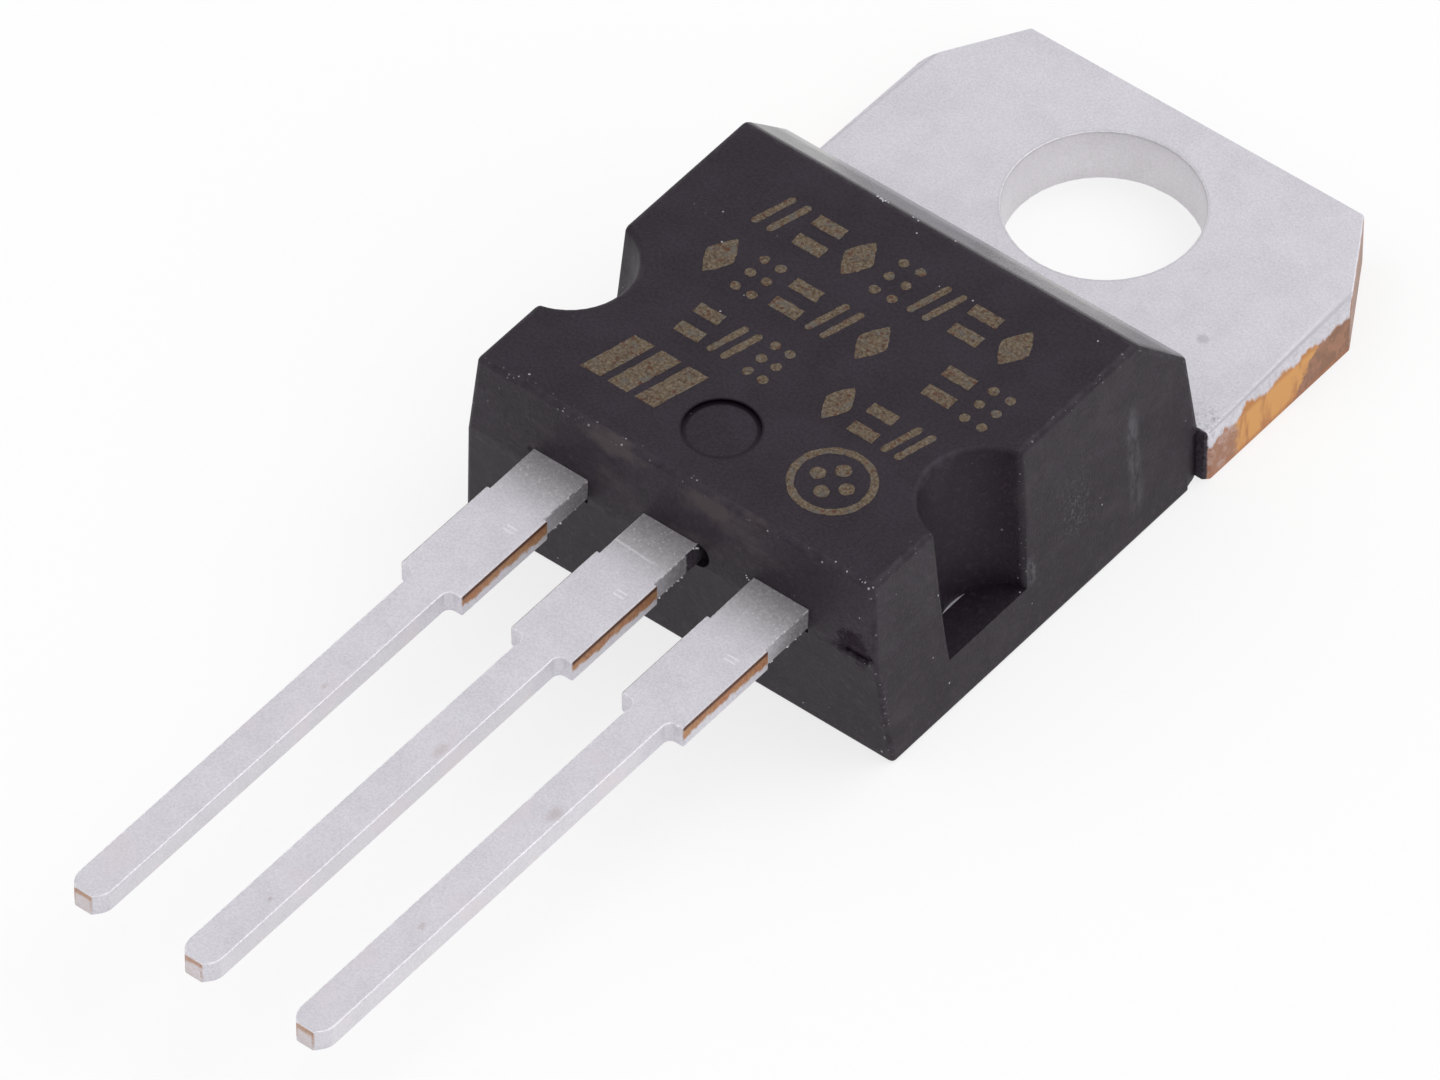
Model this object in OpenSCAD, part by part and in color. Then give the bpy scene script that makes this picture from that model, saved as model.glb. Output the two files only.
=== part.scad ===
// Three-lead voltage regulator in a flat power package, lying on its back.
// A black moulded body holds a copper flag whose tab has the fixing hole.
// The frame's origin is the centre of that hole, on the back face. +Z points
// away from the back face, the leads run along -Y and +X is across the body.
// All lengths are in millimetres and all angles in degrees.

/* [Moulded body] */
// Height of the body above its back face
body_h = 4.47; // [4.3:0.01:4.8]
// Width of the body at its back face
body_base_w = 9.96; // [9.8:0.01:10.1]
// Draft of each side wall
side_draft = 5.4; // [3:0.1:7]
// Distance from the hole to the lead end, at its parting line
body_front = 12.76; // [12.5:0.01:13]
// Draft of the lead end above its parting line
front_draft_upper = 3; // [1:0.5:6]
// Draft of the lead end below its parting line
front_draft_lower = 5; // [2:0.5:8]
// Distance from the hole to the tab end of the body, level with the tab's top
body_back = 3.45; // [3.3:0.01:3.7]
// Draft of the tab end below its bevel
back_draft = 4.5; // [2:0.5:8]
// Height at which the tab end's bevel begins
bevel_foot_h = 3.15; // [2.8:0.05:3.6]
// Slope of the bevel above the horizontal
bevel_slope = 45; // [35:1:60]
// Depth of the relief in each lower corner of the body beside the tab
relief_depth = 0.16; // [0.08:0.01:0.25]
// Length of that relief
relief_l = 0.42; // [0.3:0.01:0.6]

/* [Side notches] */
// Distance from the hole to the middle of the notches
notch_from_hole = 9.65; // [9.3:0.05:9.8]
// Radius of a notch at the body's top face
notch_r = 1.26; // [1:0.01:1.4]
// Depth of a notch at the body's top face
notch_depth = 0.99; // [0.7:0.01:1.1]
// Taper of a notch's wall towards its floor
notch_taper = 1.5; // [0:0.5:4]
// Outward lean of a notch towards its floor
notch_lean = 6.5; // [4:0.5:9]

/* [Mould marks] */
// Radius of the round ejector mark in the top face
ejector_mark_r = 0.73; // [0.5:0.01:0.9]
// Depth of the ejector mark
ejector_mark_depth = 0.05; // [0.02:0.01:0.1]
// Distance from the hole to the ejector mark
ejector_mark_from_hole = 11.27; // [10.8:0.01:11.4]
// Width of the break that the moulding gate left at the parting line
gate_mark_w = 0.5; // [0.3:0.05:0.6]
// Height of that break above the parting line
gate_mark_h = 0.32; // [0.2:0.01:0.4]
// Depth of that break
gate_mark_depth = 0.08; // [0.04:0.01:0.12]
// Distance across the body from its middle to that break
gate_mark_x = 4.28; // [4.2:0.01:4.35]
// Radius of the hole broken out of the body beside the centre lead
root_void_r = 0.27; // [0.15:0.01:0.3]

/* [Tab and flag] */
// Thickness of the tab and of the flag inside the body
tab_t = 1.23; // [1.15:0.01:1.4]
// Amount by which the tab stands out past each side of the body
tab_overhang = 0.12; // [0.08:0.01:0.2]
// Rounding of the tab's shoulders beside the body
shoulder_round = 0.1; // [0.04:0.01:0.12]
// Distance from the hole to the tab's end
tab_end = 2.81; // [2.7:0.01:3]
// Width of the cut across each tab corner
tab_corner_w = 1.2; // [0.8:0.05:1.6]
// Length of the cut across each tab corner
tab_corner_l = 1.98; // [1.5:0.05:2.3]
// Radius of the fixing hole
hole_r = 1.91; // [1.85:0.01:1.95]
// Width of moulding beside the flag, at the back face
flag_cover = 0.92; // [0.9:0.01:1.1]
// Distance from the hole to the flag's lead end
flag_front = 10.1; // [9.9:0.05:10.3]
// Width of the step round the flag's back, which the moulding grips
lock_step_w = 0.25; // [0.15:0.05:0.4]
// Height of that step
lock_step_h = 0.5; // [0.4:0.05:0.6]

/* [Leads] */
// Distance between neighbouring leads
lead_pitch = 2.54; // [2.5:0.01:2.6]
// Thickness of the leads
lead_t = 0.48; // [0.42:0.01:0.5]
// Height of the leads' underside above the back face
lead_h = 2.58; // [2.5:0.01:2.7]
// Width of a lead beyond its shoulder
lead_w = 0.77; // [0.65:0.01:0.9]
// Distance from the hole to the leads' ends
lead_reach = 26.05; // [25:0.05:27]
// Width of a lead's flat end
tip_w = 0.38; // [0.3:0.01:0.5]
// Length of the taper to a lead's flat end
tip_taper = 0.24; // [0.15:0.01:0.4]
// Width of a lead where it leaves the body
root_w = 1.27; // [1.2:0.01:1.35]
// Width left over where the tie bar between the leads was cut
stub_w = 1.42; // [1.38:0.01:1.5]
// Distance from the hole to the start of the cut tie bar
stub_start = 13.97; // [13.6:0.01:14.2]
// Distance from the hole to the lead's shoulder
shoulder_from_hole = 16.4; // [16.2:0.01:16.6]
// Radius of the fillet under the shoulder
shoulder_r = 0.15; // [0.08:0.01:0.2]

/* [Inside the body] */
// Width of the bonding post at the inner end of an outer lead
post_w = 2; // [1.6:0.05:2.1]
// Length of the bonding post
post_l = 1.3; // [1:0.05:1.4]
// Distance from the hole to the bonding posts
post_from_hole = 10.75; // [10.6:0.05:10.9]
// Cut across the bonding posts' corners
post_corner = 0.3; // [0.1:0.05:0.4]
// Length along Y of the centre lead's bend down to the flag
bend_l = 1.2; // [1:0.05:1.3]
// Distance from the flag's end to the foot of that bend
bend_gap = 0.5; // [0.4:0.05:0.55]
// Width of the silicon chip
chip_w = 2.3; // [2:0.1:2.6]
// Length of the silicon chip
chip_l = 2; // [1.6:0.1:2.2]
// Thickness of the silicon chip
chip_t = 0.28; // [0.2:0.01:0.35]
// Distance from the hole to the middle of the chip
chip_from_hole = 7.2; // [7:0.05:7.4]
// Thickness of the solder under the chip
solder_t = 0.05; // [0.03:0.01:0.08]
// Width of solder that shows round the chip
solder_margin = 0.12; // [0.05:0.01:0.2]
// Radius of the bond wires
wire_r = 0.125; // [0.1:0.005:0.15]
// Rise of the outer leads' bond wires above a straight line
wire_rise = 0.9; // [0.7:0.05:1.1]
// Rise of the ground bond wire above a straight line
ground_wire_rise = 0.4; // [0.3:0.05:0.5]
// Length of the flattened foot at each end of a bond wire
foot_l = 0.5; // [0.4:0.05:0.6]
// Width of a flattened foot
foot_w = 0.32; // [0.3:0.01:0.4]
// Thickness of a flattened foot
foot_t = 0.12; // [0.08:0.01:0.16]
// Distance between the bond feet on the chip
foot_pitch = 0.7; // [0.6:0.05:0.8]

/* [Hidden] */
$fn = 64;

// Room that a cutting shape runs past the surface that it cuts
overcut = 1;
// Length over which a lead and its post, or the flag, share the same metal
joint_lap = 0.3;

body_half_top = body_base_w / 2 - body_h * tan(side_draft);
tab_half = body_base_w / 2 + tab_overhang;
flag_half = body_base_w / 2 - flag_cover;
bevel_foot_y = body_back + (bevel_foot_h - tab_t) * tan(back_draft);
bevel_top_y = bevel_foot_y + (body_h - bevel_foot_h) / tan(bevel_slope);
back_foot_y = body_back;
front_top_y = body_front - (body_h - lead_h) * tan(front_draft_upper);
front_base_y = body_front - lead_h * tan(front_draft_lower);
notch_axis_x = body_half_top + notch_r - notch_depth;
lead_top = lead_h + lead_t;
bend_foot_y = flag_front + bend_gap;
chip_top = tab_t + solder_t + chip_t;
wire_foot_y = chip_from_hole + chip_l / 2 - foot_l;
ground_foot_y = chip_from_hole + chip_l / 2 + solder_margin + 2 * foot_l;
post_foot_y = post_from_hole + post_l / 2 - foot_l / 2;

mould_colour = "#35313a";
tin_colour = "#cdcbd0";
chip_colour = "#4c5560";
solder_colour = "#9a9c9f";
wire_colour = "#dcdcdc";

// The moulded body, round everything that it holds
module mould_body() {
    color(mould_colour) difference() {
        body_block();
        for (side = [0, 1]) mirror([side, 0, 0]) side_notch();
        for (side = [0, 1]) mirror([side, 0, 0]) corner_relief();
        ejector_mark();
        gate_mark();
        root_void();
        tab_and_centre_lead();
        left_lead();
        right_lead();
        chip();
        chip_solder();
        left_bond_wire();
        right_bond_wire();
        ground_bond_wire();
    }
}

// The block is where a side profile and an end profile overlap
module body_block() {
    intersection() {
        rotate([90, 0, 90])
            linear_extrude(height = body_base_w, center = true)
                side_profile();
        translate([0, -body_back + overcut, 0]) rotate([90, 0, 0])
            linear_extrude(height = body_front - body_back + 2 * overcut)
                end_profile();
    }
}

// Side view of the body, drawn with Y to the right and Z up
module side_profile() {
    polygon([
        [-front_base_y, 0],
        [-back_foot_y, 0],
        [-back_foot_y, tab_t],
        [-bevel_foot_y, bevel_foot_h],
        [-bevel_top_y, body_h],
        [-front_top_y, body_h],
        [-body_front, lead_h]
    ]);
}

// End view of the body, with the same draft on both sides
module end_profile() {
    polygon([
        [-body_base_w / 2, 0],
        [body_base_w / 2, 0],
        [body_half_top, body_h],
        [-body_half_top, body_h]
    ]);
}

// Room left by the mould pin that presses on the flag, on the +X side
module side_notch() {
    reach = body_h;
    intersection() {
        translate([notch_axis_x, -notch_from_hole, body_h])
            rotate([0, -notch_lean, 0])
                translate([0, 0, -reach])
                    cylinder(h = reach + overcut,
                             r1 = notch_r - reach * tan(notch_taper),
                             r2 = notch_r + overcut * tan(notch_taper));
        translate([0, -body_front, tab_t])
            cube([body_base_w, body_front - body_back, body_h]);
    }
}

// Slanted relief of the body's lower corner beside the tab's shoulder
module corner_relief() {
    edge = body_base_w / 2;
    translate([0, 0, -overcut]) linear_extrude(height = tab_t + overcut)
        polygon([
            [edge - relief_depth, -body_back],
            [edge - relief_depth / 2, -body_back - relief_l],
            [edge + overcut, -body_back - relief_l],
            [edge + overcut, -body_back + overcut],
            [edge - relief_depth, -body_back + overcut]
        ]);
}

module ejector_mark() {
    translate([0, -ejector_mark_from_hole, body_h - ejector_mark_depth])
        cylinder(h = ejector_mark_depth + overcut, r = ejector_mark_r);
}

// Break above the parting line where the moulding gate was snapped off
module gate_mark() {
    translate([gate_mark_x, -body_front, lead_h]) rotate([90, 0, 90])
        linear_extrude(height = gate_mark_w, center = true)
            polygon([
                [-overcut, 0],
                [gate_mark_depth, 0],
                [0, gate_mark_h],
                [-overcut, gate_mark_h]
            ]);
}

// Hole where the moulding has broken away at the centre lead's upper edge
module root_void() {
    translate([root_w / 2, -body_front, lead_h + lead_t / 2])
        sphere(r = root_void_r);
}

// Flag, tab and centre lead are one piece of copper
module tab_and_centre_lead() {
    color(tin_colour) union() {
        difference() {
            linear_extrude(height = tab_t) tab_outline();
            translate([0, 0, -overcut]) cylinder(h = tab_t + 2 * overcut, r = hole_r);
            lock_step();
        }
        intersection() {
            linear_extrude(height = body_h) lead_outline(flag_front - joint_lap);
            rotate([90, 0, 90])
                linear_extrude(height = 2 * stub_w, center = true)
                    centre_lead_profile();
        }
    }
}

// Plan of the tab and the narrower flag behind it
module tab_outline() {
    right_half = [
        [flag_half, -flag_front],
        [flag_half, -body_back],
        [tab_half - shoulder_round, -body_back],
        [tab_half, -body_back + shoulder_round],
        [tab_half, tab_end - tab_corner_l],
        [tab_half - tab_corner_w, tab_end]
    ];
    polygon(both_halves(right_half));
}

// Step pressed into the flag's back edges, which keys it into the moulding
module lock_step() {
    flag_l = flag_front - body_back;
    for (side = [0, 1]) mirror([side, 0, 0])
        translate([flag_half - lock_step_w, -flag_front - overcut, -overcut])
            cube([lock_step_w + overcut, flag_l + overcut, lock_step_h + overcut]);
    translate([-flag_half, -flag_front - overcut, -overcut])
        cube([2 * flag_half, lock_step_w + overcut, lock_step_h + overcut]);
}

// Side view of the centre lead, which bends down to the flag
module centre_lead_profile() {
    miter = lead_t * tan(atan((lead_top - tab_t) / bend_l) / 2);
    top_line = [
        [-lead_reach, lead_top],
        [-bend_foot_y - bend_l, lead_top],
        [-bend_foot_y, tab_t],
        [-flag_front + joint_lap, tab_t]
    ];
    bottom_line = [
        [-flag_front + joint_lap, tab_t - lead_t],
        [-bend_foot_y - miter, tab_t - lead_t],
        [-bend_foot_y - bend_l - miter, lead_h],
        [-lead_reach, lead_h]
    ];
    polygon(concat(top_line, bottom_line));
}

module left_lead() {
    outer_lead(-1);
}

module right_lead() {
    outer_lead(1);
}

// A straight lead with a bonding post at its inner end
module outer_lead(side) {
    color(tin_colour) translate([side * lead_pitch, 0, lead_h])
        linear_extrude(height = lead_t) union() {
            lead_outline(post_from_hole + post_l - joint_lap);
            post_outline();
        }
}

// Plan of a lead from its tapered tip to the distance inner_y from the hole
module lead_outline(inner_y) {
    fillet_end = shoulder_from_hole + shoulder_r;
    right_half = [
        [tip_w / 2, -lead_reach],
        [lead_w / 2, -lead_reach + tip_taper],
        [lead_w / 2, -fillet_end],
        [lead_w / 2 + shoulder_r, -fillet_end],
        [lead_w / 2 + shoulder_r, -shoulder_from_hole],
        [stub_w / 2, -shoulder_from_hole],
        [stub_w / 2, -stub_start],
        [root_w / 2, -stub_start],
        [root_w / 2, -inner_y]
    ];
    difference() {
        polygon(both_halves(right_half));
        for (side = [-1, 1])
            translate([side * (lead_w / 2 + shoulder_r), -fillet_end])
                circle(r = shoulder_r);
    }
}

module post_outline() {
    near = post_from_hole;
    far = post_from_hole + post_l;
    right_half = [
        [post_w / 2 - post_corner, -far],
        [post_w / 2, -far + post_corner],
        [post_w / 2, -near - post_corner],
        [post_w / 2 - post_corner, -near]
    ];
    polygon(both_halves(right_half));
}

module chip() {
    color(chip_colour) translate([0, -chip_from_hole, tab_t + solder_t + chip_t / 2])
        cube([chip_w, chip_l, chip_t], center = true);
}

module chip_solder() {
    color(solder_colour) translate([0, -chip_from_hole, tab_t + solder_t / 2])
        cube([chip_w + 2 * solder_margin, chip_l + 2 * solder_margin, solder_t], center = true);
}

module left_bond_wire() {
    bond_wire([-foot_pitch, -wire_foot_y, chip_top], [-lead_pitch, -post_foot_y, lead_top], wire_rise);
}

module right_bond_wire() {
    bond_wire([foot_pitch, -wire_foot_y, chip_top], [lead_pitch, -post_foot_y, lead_top], wire_rise);
}

module ground_bond_wire() {
    bond_wire([0, -wire_foot_y, chip_top], [0, -ground_foot_y, tab_t], ground_wire_rise);
}

// A wire in one round arc between two pads, with a flattened foot on each pad
module bond_wire(from, to, rise) {
    heading = atan2(to.y - from.y, to.x - from.x);
    run = norm([to.x - from.x, to.y - from.y]);
    climb = atan2(to.z - from.z, run);
    chord = norm([run, to.z - from.z]);
    arc_r = (chord * chord / 4 + rise * rise) / (2 * rise);
    half_angle = asin(chord / 2 / arc_r);
    color(wire_colour) translate([from.x, from.y, 0]) rotate([0, 0, heading]) {
        difference() {
            translate([0, 0, from.z]) rotate([0, -climb, 0])
                translate([chord / 2, 0, rise - arc_r]) rotate([90, 0, 0])
                    rotate([0, 0, 90 - half_angle])
                        rotate_extrude(angle = 2 * half_angle)
                            translate([arc_r, 0]) circle(r = wire_r);
            pad_cut(0, from.z);
            pad_cut(run, to.z);
        }
        wire_foot(0, from.z);
        wire_foot(run, to.z);
    }
}

// Keeps a wire's round end above the pad that it is bonded to
module pad_cut(along, pad_z) {
    translate([along - foot_l, -foot_l, pad_z - 2 * foot_l])
        cube([2 * foot_l, 2 * foot_l, 2 * foot_l]);
}

module wire_foot(along, pad_z) {
    translate([along - foot_l / 2, -foot_w / 2, pad_z])
        cube([foot_l, foot_w, foot_t]);
}

// Adds the mirror image of a right-hand outline, in reverse order
function both_halves(right_half) = concat(
    right_half,
    [for (i = [len(right_half) - 1:-1:0]) [-right_half[i].x, right_half[i].y]]
);

mould_body();
tab_and_centre_lead();
left_lead();
right_lead();
chip();
chip_solder();
left_bond_wire();
right_bond_wire();
ground_bond_wire();
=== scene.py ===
"""Looks of a three-lead voltage regulator, dressed round its packed construction.

Sizes are in millimetres. Meshes are stored in metres, in the frame of the construction:
the origin is the centre of the tab's hole on the back face, +Z leaves the back face and
the leads run along -Y.
"""
import logging
from dataclasses import dataclass
from enum import Enum
from functools import cached_property
from math import radians
from typing import Callable, Sequence

import bmesh
import bpy
import numpy as np
from mathutils import Matrix, Vector


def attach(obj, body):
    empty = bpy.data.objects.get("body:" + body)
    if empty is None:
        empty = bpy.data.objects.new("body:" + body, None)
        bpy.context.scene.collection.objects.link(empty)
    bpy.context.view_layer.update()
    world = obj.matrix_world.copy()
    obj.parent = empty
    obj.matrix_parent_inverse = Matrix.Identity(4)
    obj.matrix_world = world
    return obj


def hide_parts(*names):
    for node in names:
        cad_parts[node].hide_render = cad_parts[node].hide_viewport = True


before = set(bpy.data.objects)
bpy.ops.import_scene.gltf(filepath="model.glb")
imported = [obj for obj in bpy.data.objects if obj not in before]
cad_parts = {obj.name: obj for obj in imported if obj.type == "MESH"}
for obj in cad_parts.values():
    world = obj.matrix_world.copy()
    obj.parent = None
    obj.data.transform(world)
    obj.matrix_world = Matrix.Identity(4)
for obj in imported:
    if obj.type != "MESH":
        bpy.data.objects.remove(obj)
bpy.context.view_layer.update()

BODY = "root"
RIM = "rim"
MM = 0.001
WELD = 1e-7  # metres
PLANE_WITHIN = 2e-6  # metres
FLAT_TURN = 0.4  # degrees
SOFT_TURN = 38  # degrees

Colour = tuple[float, float, float]
Place = tuple[float, float, float]
Pair = tuple[float, float]
Array = np.ndarray
Patch = tuple[Array, list[list[int]]]
Material = bpy.types.Material
Piece = bpy.types.Object
Edge = bmesh.types.BMEdge

log = logging.getLogger("regulator")


def maths(operation: str, reflected: bool = False) -> Callable[["Value", "Operand"], "Value"]:
    """Makes the method of Value for one operation of the Math node.

    Args:
        operation: The operation.
        reflected: Whether the value stands on the right of the other operand.

    Returns:
        The method.
    """

    def method(value: "Value", other: "Operand" = 0.0) -> "Value":
        """Adds the Math node."""
        pair = (other, value) if reflected else (value, other)
        return value.shader.add("Math", {"operation": operation}, dict(enumerate(pair)))

    return method


class Value:
    """A number, colour or vector that flows between the nodes of one shader."""

    __add__, __radd__ = maths("ADD"), maths("ADD", True)
    __sub__, __rsub__ = maths("SUBTRACT"), maths("SUBTRACT", True)
    __mul__, __rmul__ = maths("MULTIPLY"), maths("MULTIPLY", True)
    __abs__, larger, smaller = maths("ABSOLUTE"), maths("MAXIMUM"), maths("MINIMUM")

    def __init__(self, shader: "Shader", socket: bpy.types.NodeSocket) -> None:
        """Keeps the shader and the output socket that the value comes from."""
        self.shader = shader
        self.socket = socket

    def rise(self, start: float, end: float) -> "Value":
        """Runs smoothly from 0 at start to 1 at end, and stays there.

        Args:
            start: Value that gives 0.
            end: Value that gives 1. It may lie below start.

        Returns:
            The blend as a value from 0 to 1.
        """
        settings = {"interpolation_type": "SMOOTHSTEP", "clamp": True}
        ends = (start, end, 0.0, 1.0) if start < end else (end, start, 1.0, 0.0)
        return self.shader.add("MapRange", settings, dict(enumerate((self, *ends))))

    def near(self, middle: float, outer: float, inner: float) -> "Value":
        """1 within inner of the middle, fading to 0 at outer."""
        return abs(self - middle).rise(outer, inner)


Operand = Value | float
Tint = Value | Colour


class Shader:
    """One material and the maker of its nodes."""

    def __init__(self, name: str) -> None:
        """Starts an empty node tree with an output.

        Args:
            name: The material's name.
        """
        self.material = bpy.data.materials.new(name)
        self.material.use_nodes = True
        self.tree = self.material.node_tree
        self.tree.nodes.clear()
        self.end = self.tree.nodes.new("ShaderNodeOutputMaterial")

    def add(self, kind: str, settings: dict | None = None, sockets: dict | None = None,
            output: int | str = 0) -> Value:
        """Makes any node: first its settings, then the values or links of its sockets.

        Args:
            kind: The node's type, without the ShaderNode that all types start with.
            settings: Attributes by name.
            sockets: Input sockets by name or number, as values, numbers or colours.
            output: The output socket that is wanted.

        Returns:
            That output as a value.
        """
        node = self.tree.nodes.new(f"ShaderNode{kind}")
        for name, setting in (settings or {}).items():
            setattr(node, name, setting)
        for key, given in (sockets or {}).items():
            if isinstance(given, Value):
                self.tree.links.new(given.socket, node.inputs[key])
            elif isinstance(given, tuple) and node.inputs[key].type == "RGBA":
                node.inputs[key].default_value = (*given[:3], 1.0)
            else:
                node.inputs[key].default_value = given
        return Value(self, node.outputs[output])

    @cached_property
    def place(self) -> Value:
        """The shaded point in the object's frame, in millimetres."""
        point = self.add("TexCoord", output="Object")
        return self.add("VectorMath", {"operation": "SCALE"}, {0: point, "Scale": 1 / MM})

    @cached_property
    def x(self) -> Value:
        """How far right of the middle the place is."""
        return self.add("SeparateXYZ", None, {0: self.place}, "X")

    @cached_property
    def y(self) -> Value:
        """How far beyond the hole the place is, negative towards the leads."""
        return self.add("SeparateXYZ", None, {0: self.place}, "Y")

    @cached_property
    def z(self) -> Value:
        """How high above the back face the place is."""
        return self.add("SeparateXYZ", None, {0: self.place}, "Z")

    @cached_property
    def rim(self) -> Value:
        """What the faces that round an edge carry: 1, -1 on the roll, and 0 elsewhere."""
        return self.add("Attribute", {"attribute_name": RIM}, output="Fac")

    def distance(self, first: Value, second: Value) -> Value:
        """Distance from a point, given how far off it is in two directions."""
        return self.add("Math", {"operation": "SQRT"}, {0: first * first + second * second})

    def spot(self, x: float, y: float, radius: float, ragged: Operand) -> Value:
        """A round spot, seen from above: 1 inside, fading to 0, with a ragged outline."""
        away = self.distance(self.x - x, self.y - y) + ragged
        return away.rise(radius * 1.3, radius * 0.5)

    def moved(self, offset: Place, stretch: Place = (1, 1, 1)) -> Value:
        """The place moved and stretched, for a pattern of its own."""
        sockets = {"Vector": self.place, "Location": offset, "Scale": stretch}
        return self.add("Mapping", None, sockets)

    def noise(self, per_mm: float, detail: float = 3.0, roughness: float = 0.55,
              place: Value | None = None) -> Value:
        """Cloudy noise about 0.5.

        Args:
            per_mm: Features to a millimetre.
            detail: Number of finer layers.
            roughness: Strength of the finer layers.
            place: The vector that it follows, or None for the plain place.

        Returns:
            The noise as a value.
        """
        sockets = {"Vector": place or self.place, "Scale": per_mm, "Detail": detail,
                   "Roughness": roughness}
        return self.add("TexNoise", None, sockets)

    def ragged(self, size: float, *noise: Operand) -> Value:
        """Noise about 0 of the given size, to break an outline."""
        return (self.noise(*noise) - 0.5) * size

    def specks(self, per_mm: float, radius: float, share: float) -> Value:
        """Sparse round specks: 1 inside a speck and 0 outside.

        Args:
            per_mm: Cells to a millimetre, each with room for one speck.
            radius: Largest radius of a speck, in cells.
            share: Share of the cells that hold a speck.

        Returns:
            The specks as a value.
        """
        sockets = {"Vector": self.place, "Scale": per_mm}
        cells, colour = (self.add("TexVoronoi", None, sockets, output)
                         for output in ("Distance", "Color"))
        chance, size = (self.add("SeparateColor", None, {0: colour}, output)
                        for output in ("Red", "Green"))
        inside = (cells - size * radius).rise(0.06, -0.02)
        return inside * chance.rise(1 - share - 0.001, 1 - share)

    def mix(self, factor: Operand, first: Tint, second: Tint) -> Value:
        """Blends two colours: 0 gives the first and 1 the second."""
        settings = {"data_type": "RGBA", "blend_type": "MIX"}
        return self.add("Mix", settings, {0: factor, 6: first, 7: second}, 2)

    def coated(self, base: Tint, *coats: tuple[Operand, Tint]) -> Value:
        """Lays coats of colour over a base, one after the other.

        Args:
            base: The colour below.
            *coats: How much of each coat shows, and its colour.

        Returns:
            The colour on top.
        """
        for factor, colour in coats:
            base = self.mix(factor, base, colour)
        return base

    def bump(self, height: Value, depth: float) -> Value:
        """The normal of a relief of 0 to 1 with the given depth."""
        sockets = {"Height": height, "Distance": depth * MM, "Strength": 1.0}
        return self.add("Bump", None, sockets)

    def finish(self, **sockets: Operand | Colour) -> Material:
        """Ends the shader with a Principled surface.

        Args:
            **sockets: Sockets of the surface, with _ for each space.

        Returns:
            The finished material.
        """
        named = {name.replace("_", " "): given for name, given in sockets.items()}
        surface = self.add("BsdfPrincipled", None, named)
        self.tree.links.new(surface.socket, self.end.inputs["Surface"])
        return self.material


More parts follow.
